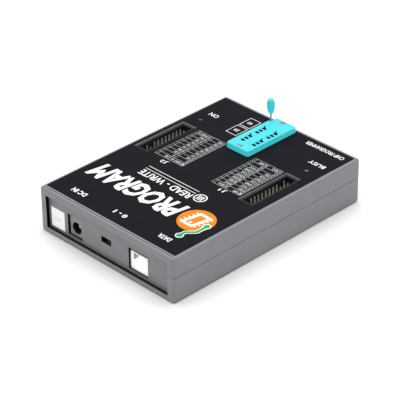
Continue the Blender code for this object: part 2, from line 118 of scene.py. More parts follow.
def mould(name, body, cuts=(), joins=(), edge=0.0, steps=2, angle=32):
    """One moulded piece: joined and cut from blocks, with its remaining edges eased."""
    piece = as_object(name, body)
    tools = []
    for kind, shapes in (('UNION', joins), ('DIFFERENCE', cuts)):
        for shape in shapes:
            tool = as_object("tool", shape)
            tools.append(tool)
            step = piece.modifiers.new("shape", 'BOOLEAN')
            step.operation, step.object = kind, tool
    settle(piece)
    for tool in tools:
        bpy.data.objects.remove(tool)
    if edge:
        ease = piece.modifiers.new("ease", 'BEVEL')
        ease.width, ease.segments, ease.angle_limit = edge * MM, steps, math.radians(angle)
        ease.use_clamp_overlap = True
    even = piece.modifiers.new("even", 'WEIGHTED_NORMAL')
    even.keep_sharp = True
    for polygon in piece.data.polygons:
        polygon.use_smooth = True
    piece.data.set_sharp_from_angle(angle=math.radians(angle if not edge else 60))
    settle(piece)
    return piece


def fit(piece, finish, body, slot, *nodes):
    """Gives a piece its finish and its body, and hides the plain solids it stands for."""
    piece.data.materials.clear()
    piece.data.materials.append(finish)
    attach(piece, body)
    if nodes:
        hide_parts(*nodes)
    return piece


def coat(finish, *nodes):
    """Puts a finish on solids whose shape is already right."""
    for name in nodes:
        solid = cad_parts[name]
        for place in solid.material_slots:
            place.link = 'OBJECT'
            place.material = finish
        if not solid.material_slots:
            solid.data.materials.append(finish)


def surface(name, light, dark, roughness, grain=0.3, bump=0.05, metal=0.0, blotch=9.0, sheen=0.06):
    """A moulded or plated surface: two close shades in soft blotches, uneven gloss, fine grain."""
    made = bpy.data.materials.new(name)
    made.use_nodes = True
    nodes, wire = made.node_tree.nodes, made.node_tree.links.new
    shader = nodes["Principled BSDF"]
    shader.inputs["Metallic"].default_value = metal
    where = nodes.new('ShaderNodeTexCoord')
    clouds = nodes.new('ShaderNodeTexNoise')
    clouds.inputs["Scale"].default_value = 1 / (blotch * MM)
    clouds.inputs["Detail"].default_value = 5.0
    shades = nodes.new('ShaderNodeValToRGB')
    shades.color_ramp.elements[0].position, shades.color_ramp.elements[0].color = 0.34, (*dark, 1)
    shades.color_ramp.elements[1].position, shades.color_ramp.elements[1].color = 0.66, (*light, 1)
    gloss = nodes.new('ShaderNodeMapRange')
    gloss.inputs["To Min"].default_value = max(0.02, roughness - sheen)
    gloss.inputs["To Max"].default_value = roughness + sheen
    grit = nodes.new('ShaderNodeTexNoise')
    grit.inputs["Scale"].default_value = 1 / (grain * MM)
    grit.inputs["Detail"].default_value = 3.0
    lift = nodes.new('ShaderNodeBump')
    lift.inputs["Strength"].default_value = 0.6
    lift.inputs["Distance"].default_value = bump * MM
    wire(where.outputs["Object"], clouds.inputs["Vector"])
    wire(where.outputs["Object"], grit.inputs["Vector"])
    wire(clouds.outputs["Fac"], shades.inputs["Fac"])
    wire(clouds.outputs["Fac"], gloss.inputs["Value"])
    wire(shades.outputs["Color"], shader.inputs["Base Color"])
    wire(gloss.outputs["Result"], shader.inputs["Roughness"])
    wire(grit.outputs["Fac"], lift.inputs["Height"])
    wire(lift.outputs["Normal"], shader.inputs["Normal"])
    return made


case_grey = surface("case_grey", (0.232, 0.229, 0.247), (0.218, 0.215, 0.232), 0.42, 0.22, 0.02)
# deep_grey is near-black: the blackened steel of the switch and the card behind the camera, and painted shade
# where it is put on recesses, gaps, grooves and screw slots.
deep_grey = surface("deep_grey", (0.016, 0.016, 0.018), (0.010, 0.010, 0.011), 0.9, 0.22, 0.02)


def dull(finish, level):
    """Takes the shine off a finish."""
    finish.node_tree.nodes["Principled BSDF"].inputs["Specular IOR Level"].default_value = level


def painted_glow(finish, colour, strength):
    """A painted glow: an even emission that brightens a part which is no lamp."""
    shader = finish.node_tree.nodes["Principled BSDF"]
    shader.inputs["Emission Color"].default_value = (*colour, 1)
    shader.inputs["Emission Strength"].default_value = strength


dull(deep_grey, 0.1)
shell_x, shell_y, lower_z = room("bottom_shell")
UNDERSIDE = lower_z[0]                   # the rubber feet hold the case this far off the table
RIM = UNDERSIDE + 13.3                   # where the lower shell's outer wall ends
LIP_TOP = UNDERSIDE + 14.6               # just above the top of the lip inside the rim
CORNER, TOP_ROUND, WALL, CAVITY = 1.6, 1.5, 2.5, 58.7
LIP_IN = 1.35
OPENING, OPENING_Z = 41.9, (UNDERSIDE + WALL, UNDERSIDE + 20.3)
GROOVE, GROOVE_Z = (59.35, 62.75), (UNDERSIDE + 1.8, UNDERSIDE + 21.4)
SCREWS = [(x, y) for y in (-50.0, 50.0) for x in (-37.5, 37.5)]
FEET = [(x, y) for y in (-38.0, 38.0) for x in (-38.0, 38.0)]


def widened(limits, by):
    """Limits moved out at both ends, or in if by is negative."""
    return (limits[0] - by, limits[1] + by)


def end_spaces(opening_z, groove_z):
    """The opening and the panel groove at both ends of a shell."""
    shapes = []
    for side in (-1, 1):
        opening = sorted((side * (CAVITY - 1), side * (shell_y[1] + 1)))
        groove = sorted((side * GROOVE[0], side * GROOVE[1]))
        shapes.append(block((-OPENING, OPENING), opening, opening_z))
        shapes.append(block(widened(shell_x, -WALL), groove, groove_z))
    return shapes


def repaint(piece, finish, inside):
    """Gives another finish to the faces of a piece that a rule picks out."""
    piece.data.materials.append(finish)
    for face in piece.data.polygons:
        if inside(face.center / MM, face.normal):
            face.material_index = len(piece.data.materials) - 1


# painted shade for the floor of the recess in front of an end panel and of the panel's cut-outs, lighter than
# the painted shade on their walls
painted_floor_shade = surface("painted_floor_shade", (0.050, 0.050, 0.054), (0.042, 0.042, 0.045), 0.8, 0.22, 0.02)


def in_recess(spot, way):
    """The faces that get painted shade: the side walls and floor of the space in front of an end panel, and
    the parting lip.
    """
    inner = abs(spot.x) < shell_x[1] - 0.6 and abs(spot.y) < shell_y[1] - 0.6
    if inner and RIM - 0.02 < spot.z < LIP_TOP:
        return True
    if abs(spot.y) < GROOVE[0] or abs(spot.y) > shell_y[1] - 0.25 or abs(way.y) > 0.5:
        return False
    return abs(spot.x) < OPENING + 1.8 and OPENING_Z[0] - 1 < spot.z < OPENING_Z[1] + 1.2


lower_cuts = [block(widened(shell_x, -WALL), (-CAVITY, CAVITY), (UNDERSIDE + WALL, RIM + 2)),
              *end_spaces((OPENING_Z[0], RIM + 2), (GROOVE_Z[0], RIM + 2))]
for spot in SCREWS:
    lower_cuts.append(rod(spot, 3.1, UNDERSIDE - 1, UNDERSIDE + 6.0))
for spot in FEET:
    lower_cuts.append(rod(spot, 4.4, UNDERSIDE - 1, UNDERSIDE + 0.8, sides=48))
lower_shell = mould(
    "lower_shell", block(shell_x, shell_y, (UNDERSIDE, RIM), CORNER, bottom=0.8),
    joins=[block(widened(shell_x, -LIP_IN), widened(shell_y, -LIP_IN), (RIM - 1, lower_z[1]))],
    cuts=lower_cuts, edge=0.12)
for spot in SCREWS:
    post = mould("lower_post", rod(spot, 4.0, UNDERSIDE + 2.0, UNDERSIDE + 13.2, sides=48),
                 cuts=[rod(spot, 3.1, UNDERSIDE + 1, UNDERSIDE + 6.0),
                       rod(spot, 1.7, UNDERSIDE, UNDERSIDE + 14)])
    fit(post, case_grey, CASE, "case_plastic")
fit(lower_shell, case_grey, CASE, "case_plastic", "bottom_shell")
# Painted shade: the recess walls and the parting lip are painted near-black, and the recess floor a little
# lighter, for the shade that falls there.
repaint(lower_shell, deep_grey, in_recess)
repaint(lower_shell, painted_floor_shade, lambda spot, way: (
    way.z > 0.5 and abs(spot.y) > GROOVE[1] and in_recess(spot, way)))

# ---------------------------------------------------------------------------------------
# Feet. Four thin discs of black rubber, 8 mm across, each glued into a shallow round pocket
# in the underside. They raise the case half a millimetre off the table.
foot_rubber = surface("foot_rubber", (0.022, 0.022, 0.022), (0.014, 0.014, 0.014), 0.82, 0.3, 0.03)
for number in (1, 2, 3, 4):
    x, y, z = room("foot_%d" % number)
    centre = (sum(x) / 2, sum(y) / 2)
    foot = mould("foot_pad_%d" % number, rod(centre, (x[1] - x[0]) / 2, z[0], z[1], sides=48), edge=0.15)
    fit(foot, foot_rubber, CASE, "foot_rubber", "foot_%d" % number)


# ---------------------------------------------------------------------------------------
# Circuit board and its four screws. A glass laminate under green solder mask with copper
# tracks showing through as a lighter green, held by pan-head screws on posts.
board_green = surface("board_green", (0.018, 0.17, 0.065), (0.012, 0.12, 0.045), 0.35, 0.4, 0.01)
tree = board_green.node_tree
where = tree.nodes.new('ShaderNodeTexCoord')
tracks = tree.nodes.new('ShaderNodeTexBrick')
tracks.inputs["Scale"].default_value = 1 / (6 * MM)
tracks.inputs["Mortar Size"].default_value = 0.03
tracks.inputs["Color1"].default_value = (0.014, 0.13, 0.05, 1)
tracks.inputs["Color2"].default_value = (0.017, 0.15, 0.058, 1)
tracks.inputs["Mortar"].default_value = (0.04, 0.30, 0.10, 1)
tree.links.new(where.outputs["Object"], tracks.inputs["Vector"])
tree.links.new(tracks.outputs["Color"], tree.nodes["Principled BSDF"].inputs["Base Color"])
coat(board_green, "circuit_board")
screw_steel = surface("screw_steel", (0.62, 0.62, 0.63), (0.50, 0.50, 0.52), 0.28, 0.15, 0.006, metal=1.0)
coat(screw_steel, *["board_screw_%d" % n for n in (1, 2, 3, 4)])

# ---------------------------------------------------------------------------------------
# Parts on the board. A long controller chip and a smaller interface chip in black epoxy,
# a plated crystal can, a regulator, a coil and three aluminium capacitor cans.
epoxy = surface("chip_epoxy", (0.020, 0.020, 0.021), (0.013, 0.013, 0.014), 0.5, 0.15, 0.02)
tin = surface("bright_tin", (0.92, 0.91, 0.88), (0.84, 0.83, 0.80), 0.30, 0.3, 0.004, metal=0.45)
can_aluminium = surface("can_aluminium", (0.78, 0.78, 0.80), (0.64, 0.64, 0.66), 0.30, 0.3, 0.004, metal=1.0)
coat(epoxy, "controller_chip", "interface_chip", "voltage_regulator", "inductor")
coat(tin, "crystal")
coat(can_aluminium, "capacitor_1", "capacitor_2", "capacitor_3")

# ---------------------------------------------------------------------------------------
# USB socket, the square kind. A folded sheet-steel shell, bright tinned, round a glossy
# white insulator. Its thick tongue carries four gilt contact strips, and the mouth has a
# shallow pocket in each side wall.
insulator_white = surface("insulator_white", (0.95, 0.95, 0.94), (0.91, 0.91, 0.90), 0.30, 0.4, 0.006)
# Painted glow: the white insulator is made to shine faintly, lifting the shade inside the mouth.
painted_glow(insulator_white, (1.0, 1.0, 0.98), 0.30)
usb_tin = surface("usb_tin", (0.98, 0.97, 0.93), (0.92, 0.91, 0.87), 0.30, 0.3, 0.004, metal=0.15)
gilt = surface("gilt_contact", (0.86, 0.72, 0.44), (0.76, 0.60, 0.34), 0.26, 0.2, 0.004, metal=1.0)
SHEET, PROUD = 0.35, 0.4                 # the steel, and how far the socket stands out
usb_x, usb_y, usb_z = room("usb_shell")
core_x, core_y, core_z = room("usb_insulator")
usb_middle = ((usb_x[0] + usb_x[1]) / 2, (usb_z[0] + usb_z[1]) / 2)
usb_can = mould("usb_can", block(usb_x, (usb_y[0], usb_y[1] + PROUD), usb_z, top=0.4, bottom=0.3, steps=4),
                cuts=[block(widened(usb_x, -SHEET), (usb_y[0] - 1, usb_y[1] + 1), widened(usb_z, -SHEET),
                            top=0.25, bottom=0.25, steps=3)], edge=0.02)
fit(usb_can, usb_tin, CASE, "plated_shell", "usb_shell")


def extruded(points, limits, along='Y'):
    """A flat outline carried from one limit to the other: (x, z) points along Y, (x, y) along Z."""
    bm = bmesh.new()
    spots = [(a, limits[0], b) if along == 'Y' else (a, b, limits[0]) for a, b in points]
    face = bm.faces.new([bm.verts.new(Vector(spot) * MM) for spot in spots])
    made = bmesh.ops.extrude_face_region(bm, geom=[face])
    for v in made["geom"]:
        if isinstance(v, bmesh.types.BMVert):
            v.co[1 if along == 'Y' else 2] = limits[1] * MM
    bmesh.ops.recalc_face_normals(bm, faces=bm.faces)
    return bm


MOUTH, MOUTH_CHAMFER = (9.0, 8.2), 2.4
mx, mz = MOUTH[0] / 2, MOUTH[1] / 2
mouth = [(-mx, mz), (mx, mz), (mx, -mz + MOUTH_CHAMFER), (mx - MOUTH_CHAMFER, -mz),
         (-mx + MOUTH_CHAMFER, -mz), (-mx, -mz + MOUTH_CHAMFER)]
mouth = [(usb_middle[0] + px, usb_middle[1] + pz) for px, pz in mouth]
TONGUE = (5.7, 5.7)
tongue_x, tongue_z = span(usb_middle[0] - 0.15, TONGUE[0]), span(usb_middle[1] - 0.9, TONGUE[1])
MOUTH_DEPTH = 8.2
core_y = (core_y[0], core_y[1] + PROUD)
mouth_end = core_y[1] - MOUTH_DEPTH
POCKET_Z = (usb_middle[1] - 0.2, usb_middle[1] + mz - 0.15)
insulator = mould("usb_insulator_block", block(core_x, core_y, core_z, top=0.25, bottom=0.25, steps=3),
                  cuts=[extruded(mouth, (mouth_end, core_y[1] + 1)),
                        block(span(usb_middle[0], MOUTH[0] + 0.3), (mouth_end + 1.0, core_y[1] - 0.4),
                              POCKET_Z)], edge=0.05)
tongue = mould("usb_tongue", block(tongue_x, (mouth_end - 0.5, core_y[1] - 1.2), tongue_z),
               edge=0.3, steps=3)
fit(insulator, insulator_white, CASE, "insulator_white", "usb_insulator")
# Painted shade: a dark olive for the mouth's side pockets and end wall, where shade falls between tongue and
# shell, lifted by a faint painted glow.
mouth_shade = surface("mouth_shade", (0.30, 0.28, 0.22), (0.24, 0.22, 0.17), 0.6, 0.3, 0.01)
painted_glow(mouth_shade, (0.34, 0.32, 0.24), 0.3)


def in_mouth(spot, way):
    """The pockets' faces and the end wall of the mouth, which get the painted shade."""
    aside, up = abs(spot.x - usb_middle[0]), abs(spot.z - usb_middle[1])
    if spot.y > core_y[1] - 0.3 or up > mz + 0.1 or aside > mx + 0.17:
        return False
    return aside > mx + 0.02 or abs(way.y) > 0.5


repaint(insulator, mouth_shade, in_mouth)
fit(tongue, insulator_white, CASE, "insulator_white")
for number, (px, side) in enumerate(((-1.25, 1), (1.25, 1), (-1.25, -1), (1.25, -1)), 1):
    level = tongue_z[1] if side > 0 else tongue_z[0]
    strip = mould("usb_contact_%d" % number,
                  block(span(usb_middle[0] + px, 1.0), (mouth_end, core_y[1] - 2.0),
                        span(level, 0.16)), edge=0.04)
    fit(strip, gilt, CASE, "contact_gold")

# ---------------------------------------------------------------------------------------
# Power jack. A block of grey plastic with a round barrel hole; a thin plated pin stands in
# the middle of the hole and a leaf spring presses from below.
jack_grey = surface("jack_grey", (0.30, 0.30, 0.312), (0.27, 0.27, 0.282), 0.5, 0.2, 0.015)
painted_hole_shade = surface("painted_hole_shade", (0.012, 0.012, 0.012), (0.006, 0.006, 0.006), 0.6, 0.3, 0.01)
jack_x, jack_y, jack_z = room("dc_jack_body")
JACK_HOLE, JACK_R, JACK_DEPTH = (23.4, UNDERSIDE + 8.5), 3.2, 10.35
jack_end = jack_y[1] - JACK_DEPTH
jack = mould("dc_jack_block", block(jack_x, jack_y, jack_z), edge=0.25, steps=3,
             joins=[block(widened(jack_x, 0.2), (58.2, jack_y[1]), (UNDERSIDE + 10, UNDERSIDE + 15.2))],
             cuts=[rod(JACK_HOLE, JACK_R, jack_end, jack_y[1] + 1, 'Y', sides=64)])
fit(jack, jack_grey, CASE, "jack_grey", "dc_jack_body")
# Painted shade: a thin near-black lining inside the barrel hole stands for the shade deep in the hole.
sleeve = mould("dc_jack_sleeve", rod(JACK_HOLE, JACK_R - 0.03, jack_end, jack_y[1] - 0.35, 'Y', 64),
               cuts=[rod(JACK_HOLE, JACK_R - 0.12, jack_end + 0.2, jack_y[1] + 1, 'Y', 64)])
fit(sleeve, painted_hole_shade, CASE, "connector_black")
coat(tin, "dc_jack_spring")
pin_x, pin_y, pin_z = room("dc_jack_pin")
centre_pin = mould("dc_jack_centre_pin", rod(JACK_HOLE, 0.85, pin_y[0], pin_y[1], 'Y', 40), edge=0.5, steps=5)
fit(centre_pin, tin, CASE, "screw_steel", "dc_jack_pin")

# ---------------------------------------------------------------------------------------
# Power switch. A slide switch in a folded, blackened steel frame, with a black slider that
# shows in a slot of the rear panel and travels 3 mm.
coat(deep_grey, "switch_frame", "switch_base")
slider_black = surface("slider_black", (0.010, 0.010, 0.011), (0.006, 0.006, 0.006), 0.6, 0.2, 0.02)
dull(slider_black, 0.1)
coat(slider_black, "switch_slider")

# ---------------------------------------------------------------------------------------
# Box headers, left and right. Black moulded boxes with a key slot, each with two rows of
# ten gilt square pins at 2.54 mm; a few pins are left out to suit the cables.
header_black = surface("header_black", (0.010, 0.010, 0.011), (0.006, 0.006, 0.006), 0.55, 0.2, 0.015)
PITCH, PIN, COLUMNS, BOX_WALL, KEY = 2.54, 0.64, 10, 1.2, 4.5
HEADERS = {"left": {(1, 1)}, "right": {(0, 8), (1, 8)}}      # pins left out, as (row, column)


def spike(x, y, z, size, tip):
    """A square pin with a tapered tip."""
    bm = block(span(x, size), span(y, size), (z[0], z[1] - tip))
    top = [v for v in bm.verts if v.co.z > (z[0] + z[1]) / 2 * MM]
    peak = bmesh.ops.extrude_face_region(
        bm, geom=[f for f in bm.faces if all(v in top for v in f.verts)])
    for v in peak["geom"]:
        if isinstance(v, bmesh.types.BMVert):
            v.co = Vector((x + (v.co.x / MM - x) * 0.4, y + (v.co.y / MM - y) * 0.4, z[1])) * MM
    old = [f for f in bm.faces if all(abs(v.co.z - (z[1] - tip) * MM) < 1e-7 for v in f.verts)]
    bmesh.ops.delete(bm, geom=old, context='FACES_ONLY')
    return bm


def gathered(name, shapes):
    """Several loose shapes kept as one piece."""
    whole = bmesh.new()
    for shape in shapes:
        part = bpy.data.meshes.new("part")
        shape.to_mesh(part)
        shape.free()
        whole.from_mesh(part)
        bpy.data.meshes.remove(part)
    return as_object(name, whole)


pin_gilt = surface("pin_gilt", (1.0, 0.94, 0.78), (0.94, 0.86, 0.66), 0.42, 0.2, 0.004, metal=0.9)
for side, missing in HEADERS.items():
    x, y, z = room(side + "_header_body")
    px, py, pz = room(side + "_header_pins")
    middle_x, middle_y = sum(x) / 2, sum(y) / 2
    floor_z = z[0] + 2.2
    hollow = block(widened(x, -BOX_WALL), widened(y, -BOX_WALL), (floor_z, z[1] + 1))
    key_slot = block((x[0] - 1, x[0] + BOX_WALL + 1), span(middle_y, KEY), (floor_z, z[1] + 1))
    box_body = mould(side + "_header_box", block(x, y, z), cuts=[hollow, key_slot], edge=0.12)
    fit(box_body, header_black, CASE, "connector_black", side + "_header_body")
    pins = []
    for row in (0, 1):
        for column in range(COLUMNS):
            if (row, column) not in missing:
                pins.append(spike(middle_x + (row - 0.5) * PITCH,
                                  middle_y + (column - (COLUMNS - 1) / 2) * PITCH,
                                  (floor_z - 0.6, pz[1]), PIN, 0.7))
    fit(gathered(side + "_header_spikes", pins), pin_gilt, CASE, "contact_gold", side + "_header_pins")

# ---------------------------------------------------------------------------------------
# Chip socket: base, slide and contacts. Turquoise moulded plastic; the slide under the
# cover squeezes the sprung contacts on the chip's legs when the lever goes down.
turquoise = surface("socket_turquoise", (0.044, 0.41, 0.445), (0.038, 0.37, 0.41),
                    0.34, 0.4, 0.008, blotch=14)
plastic = turquoise.node_tree.nodes["Principled BSDF"]
plastic.inputs["Subsurface Weight"].default_value = 0.35
plastic.inputs["Subsurface Radius"].default_value = (0.3, 1.0, 1.0)
plastic.inputs["Subsurface Scale"].default_value = 1.2 * MM
# Painted glow: on top of its real translucency, the turquoise shines faintly to lift its shaded sides.
painted_glow(turquoise, (0.05, 0.62, 0.68), 0.54)
# Painted shade: a dark copy of the turquoise for the socket's base and slide, which sit in the shade under
# the cover.
shaded_turquoise = surface("shaded_turquoise", (0.006, 0.055, 0.06), (0.004, 0.04, 0.045), 0.6, 0.4, 0.008)
coat(shaded_turquoise, "zif_base", "zif_slide")
coat(gilt, "zif_contacts_left", "zif_contacts_right")

# ---------------------------------------------------------------------------------------
# Chip socket cover. One glossy turquoise moulding with two rows of six lead-in slots in two
# groups, a streak cut at the end of each group, and two screw seats. Its front right corner
# is cut out for the lever.
cover_x, cover_y, cover_z = room("zif_cover")
ROW, FIRST, SLOTS, BLANK = 3.81, -32.7, 7, 3     # rows, first slot, places, the closed place
SLOT, STREAK = (2.5, 1.6), (1.1, 0.5)            # a slot's size, and a streak's two widths
COVER_PLATE, THIN, LEAD_IN = 1.5, 0.45, 0.22     # plate, its part over the contacts, sunk strip
LEVER_BAY = (6.7, -55.2)
ZIF_SCREWS = ((1.1, -27.7), (1.3, -58.4))
top_z = cover_z[1]


def groove(start, end, low, high, wide_start, wide_end):
    """A shallow groove on the top between two spots."""
    a, b = Vector(start), Vector(end)
    across = Vector((-(b - a).y, (b - a).x)).normalized()
    outline = [a + across * wide_start / 2, b + across * wide_end / 2,
               b - across * wide_end / 2, a - across * wide_start / 2]
    return extruded([tuple(p) for p in outline], (low, high), 'Z')


slot_y = [FIRST - PITCH * i for i in range(SLOTS)]
cuts = [block((cover_x[0] + 0.6, cover_x[1] - 0.6), (cover_y[0] + 0.6, cover_y[1] - 0.6),
              (cover_z[0] - 1, top_z - COVER_PLATE)),
        block((LEVER_BAY[0], cover_x[1] + 1), (cover_y[0] - 1, LEVER_BAY[1]),
              (cover_z[0] - 1, top_z + 1), 0.4)]
for side in (-1, 1):
    cuts.append(block(span(side * ROW, 3.6), (slot_y[-1] - 2.9, slot_y[0] + 1.4),
                      (top_z - COVER_PLATE - 1, top_z - THIN)))
    for i, y in enumerate(slot_y):
        if i != BLANK:
            cuts.append(block(span(side * ROW, SLOT[0]), span(y, SLOT[1]),
                              (top_z - 2, top_z + 1), 0.15, steps=2))
        if i in (2, 6):
            cuts.append(groove((side * ROW + 0.2, y - 0.1), (side * ROW + 1.75, y - 2.2),
                               top_z - 2, top_z + 1, *STREAK))
    for group in (slot_y[:BLANK], slot_y[BLANK + 1:]):
        cuts.append(block(span(side * ROW, 2.7), (group[-1] - 1.1, group[0] + 1.1),
                          (top_z - LEAD_IN, top_z + 1), 0.25))
for spot in ZIF_SCREWS:
    cuts.append(rod(spot, 1.5, top_z - 0.45, top_z + 1, sides=48))
    cuts.append(rod(spot, 0.6, top_z - 3, top_z + 1))
cover = mould("zif_top_cover", block(cover_x, cover_y, cover_z, 1.0, top=0.4, steps=5, taper=0.15),
              cuts=cuts, edge=0.08)
fit(cover, turquoise, CASE, "socket_turquoise", "zif_cover")
inner_x, inner_y = widened(cover_x, -0.55), widened(cover_y, -0.55)
# Painted shade: the cover's faces inside the slots and the hollow underneath get the dark turquoise.
repaint(cover, shaded_turquoise, lambda spot, way: spot.z < top_z - LEAD_IN - 0.04 and (
    inner_x[0] < spot.x < inner_x[1] and inner_y[0] < spot.y < inner_y[1]))
pale_steel = surface("pale_steel", (0.62, 0.60, 0.59), (0.48, 0.47, 0.46), 0.38, 0.15, 0.006, metal=0.4)
for number, spot in enumerate(ZIF_SCREWS, 1):
    head = mould("zif_screw_head_%d" % number, rod(spot, 1.2, top_z - 0.6, top_z + 0.08, sides=48),
                 joins=[rod(spot, 0.45, top_z - 6.4, top_z - 0.5)],
                 cuts=[block(span(spot[0], 3.0), span(spot[1], 0.5), (top_z - 0.35, top_z + 1))],
                 edge=0.12, steps=3)
    fit(head, pale_steel, CASE, "screw_steel", "zif_screw_%d" % number)
    # Painted shade: the faces in each screw's slot are painted near-black.
    repaint(head, deep_grey, lambda at, way: at.z < top_z - 0.1 and abs(at.y - spot[1]) < 0.3)

# ---------------------------------------------------------------------------------------
# Lever and knob. A bent steel wire on a shaft across the socket, with a turquoise
# teardrop knob dished on both sides for a thumb.
AXIS = (-56.6, UNDERSIDE + 24.9)
STEM_X = 7.75
knob_x, knob_y, knob_z = room("zif_knob")
wire = mould("lever_wire", rod(AXIS, 0.55, -4.6, 7.4, 'X', 32),
             joins=[rod(AXIS, 1.2, 7.2, 8.3, 'X', 40), rod((STEM_X, AXIS[0]), 0.5, AXIS[1], knob_z[0] + 4.0)],
             cuts=[block((-2.0, 2.0), (AXIS[0] + 0.25, AXIS[0] + 1), (UNDERSIDE + 24.0, UNDERSIDE + 26.0))],
             edge=0.06)
fit(wire, pale_steel, "zif_lever", "screw_steel", "zif_lever")


def teardrop(x, y, z, rings=36, sides=56, dish=0.26):
    """The knob: a round profile turned about the stem, pressed flat and dished both sides."""
    bm = bmesh.new()
    half_x, half_y, height = (x[1] - x[0]) / 2, (y[1] - y[0]) / 2, z[1] - z[0]
    loops = []
    for i in range(1, rings):
        turn = math.pi * i / rings
        radius = math.sin(turn) ** 0.75 * (1 - 0.25 * (1 - math.cos(turn)) / 2)
        level = z[0] + height * (1 + math.cos(turn)) / 2
        loop = []
        for k in range(sides):
            around = 2 * math.pi * k / sides
            px, py = radius * math.cos(around), radius * math.sin(around)
            above = (level - z[0] - height * 0.55) / (height * 0.27)
            py *= 1 - dish * math.exp(-(px / 0.5) ** 2 - above ** 2)
            spot = Vector((sum(x) / 2 + px * half_x / 0.9, sum(y) / 2 + py * half_y / 0.9, level))
            loop.append(bm.verts.new(spot * MM))
        loops.append(loop)
    for upper, under in zip(loops, loops[1:]):
        for k in range(sides):
            bm.faces.new((upper[k], upper[k - 1], under[k - 1], under[k]))
    bm.faces.new(loops[0])
    bm.faces.new(loops[-1][::-1])
    bmesh.ops.recalc_face_normals(bm, faces=bm.faces)
    return bm


knob = mould("lever_knob", teardrop(knob_x, knob_y, knob_z),
             cuts=[rod((STEM_X, AXIS[0]), 0.56, knob_z[0] - 1, knob_z[0] + 4.5)])
fit(knob, turquoise, "zif_lever", "socket_turquoise", "zif_knob")

# ---------------------------------------------------------------------------------------
# Lamps. Two small frosted LEDs stand on the board under the holes in the top.
# Painted shade: the lenses are given a darker grey than a frosted LED's own, so the lamp holes read dark.
frosted = surface("frosted_lens", (0.34, 0.34, 0.33), (0.22, 0.22, 0.21), 0.12, 0.2, 0.01)
for name in ("mode_led", "power_led"):
    x, y, z = room(name)
    centre = (sum(x) / 2, sum(y) / 2)
    lamp = mould(name + "_lens", rod(centre, 1.5, z[0] + 0.9, z[1], sides=48, end=1.35),
                 joins=[rod(centre, 1.9, z[0], z[0] + 1.0, sides=48)], edge=0.2, steps=4)
    fit(lamp, frosted, CASE, "led_lens", name)

# ---------------------------------------------------------------------------------------
# End panels. Grey plates that slide into the grooves at each end: the front one plain,
# the rear one cut out for the USB socket, the power jack and the switch.
PANEL_EDGE = 0.15
px, py, pz = room("rear_panel")
cut_y = (py[0] - 1, py[1] + 1)
rear_panel = mould(
    "rear_plate", block(px, py, pz), edge=PANEL_EDGE,
    cuts=[block(span(usb_middle[0], 12.8), cut_y, (UNDERSIDE + 3.9, UNDERSIDE + 15.5)),
          block(span(JACK_HOLE[0], 10.0), cut_y, (UNDERSIDE + 3.9, UNDERSIDE + 15.3)),
          block(span(1.4, 6.7), cut_y, span(UNDERSIDE + 11.8, 3.2))])
fit(rear_panel, case_grey, CASE, "case_plastic", "rear_panel")
# Painted shade: the side walls of the panel's cut-outs are painted near-black and their floors a little
# lighter, for the shade in the gaps round the socket, the jack and the switch.
repaint(rear_panel, deep_grey, lambda spot, way: (
    abs(spot.x) < px[1] - 1 and abs(way.y) < 0.5 and pz[0] + 1 < spot.z < pz[1] - 1))
repaint(rear_panel, painted_floor_shade, lambda spot, way: way.z > 0.5 and pz[0] + 1 < spot.z < UNDERSIDE + 5)
front_panel = mould("front_plate", block(*room("front_panel")), edge=PANEL_EDGE)
fit(front_panel, case_grey, CASE, "case_plastic", "front_panel")

# ---------------------------------------------------------------------------------------
# Serial label. A plain white paper sticker on the rear panel beside the jack, with a few
# faint grey strokes in place of a number.
paper = surface("label_paper", (0.98, 0.98, 0.98), (0.95, 0.95, 0.95), 0.75, 0.15, 0.006)
# Painted glow: the paper shines faintly, a brighter white than the lamps alone give it.
painted_glow(paper, (1, 1, 1), 0.13)
ink_grey = surface("ink_grey", (0.66, 0.66, 0.67), (0.56, 0.56, 0.57), 0.7, 0.2, 0.002)
label_x, label_y, label_z = room("serial_sticker")
label = mould("serial_label", block(label_x, (py[1] - 0.02, py[1] + 0.14), label_z), edge=0.03)
fit(label, paper, CASE, "label_paper", "serial_sticker")


def trail(points, width, low, high, along='Z'):
    """A flat line of even width through the given points."""
    left, right = [], []
    for i, point in enumerate(points):
        here = Vector(point)
        before = Vector(points[max(i - 1, 0)])
        after = Vector(points[min(i + 1, len(points) - 1)])
        way = (after - before).normalized()
        side = Vector((-way.y, way.x)) * width / 2
        left.append(tuple(here + side))
        right.append(tuple(here - side))
    return extruded(left + right[::-1], (low, high), along)


strokes = []
STROKES = 6
for i in range(STROKES):
    stroke_x, low = label_x[0] + 2.6 + 0.85 * i, sum(label_z) / 2 - 1.5 + 0.5 * math.sin(1.7 * i)
    strokes.append(trail([(stroke_x, low), (stroke_x + 0.3, low + 2.2 + 0.7 * math.sin(2.3 * i))], 0.24,
                         py[1] + 0.13, py[1] + 0.16, 'Y'))
fit(gathered("serial_scribble", strokes), ink_grey, CASE, "label_paper")

# ---------------------------------------------------------------------------------------
# Upper shell. The same grey moulding, with a broad bevel round the top, a shallow recess
# for the printed overlay, and windows for the headers, the chip socket and the lamps.
top_x, top_y, upper_z = room("top_shell")
overlay_x, overlay_y, overlay_z = room("top_overlay")
ROOF = UNDERSIDE + 21.7
TOP = upper_z[1]
LED_SPOTS = ((-34.8, -37.0), (37.7, -36.7))


def windows(low, high, lamp_r, ease=0.0):
    """The holes in the top for the socket, the lever, the headers and the lamps."""
    holes = [block(widened((-6.0, 7.9), ease), widened((-59.65, -25.8), ease), (low, high), 0.8),
             block((LEVER_BAY[0], 9.0 + ease), (-60.2 - ease, -54.8), (low, high), 0.4)]
    for side in HEADERS:
        hx, hy, hz = room(side + "_header_body")
        holes.append(block(widened(hx, 0.22 + ease), widened(hy, 0.25 + ease), (low, high), 0.35, steps=4))
    for spot in LED_SPOTS:
        holes.append(rod(spot, lamp_r, low, high, sides=48))
    return holes


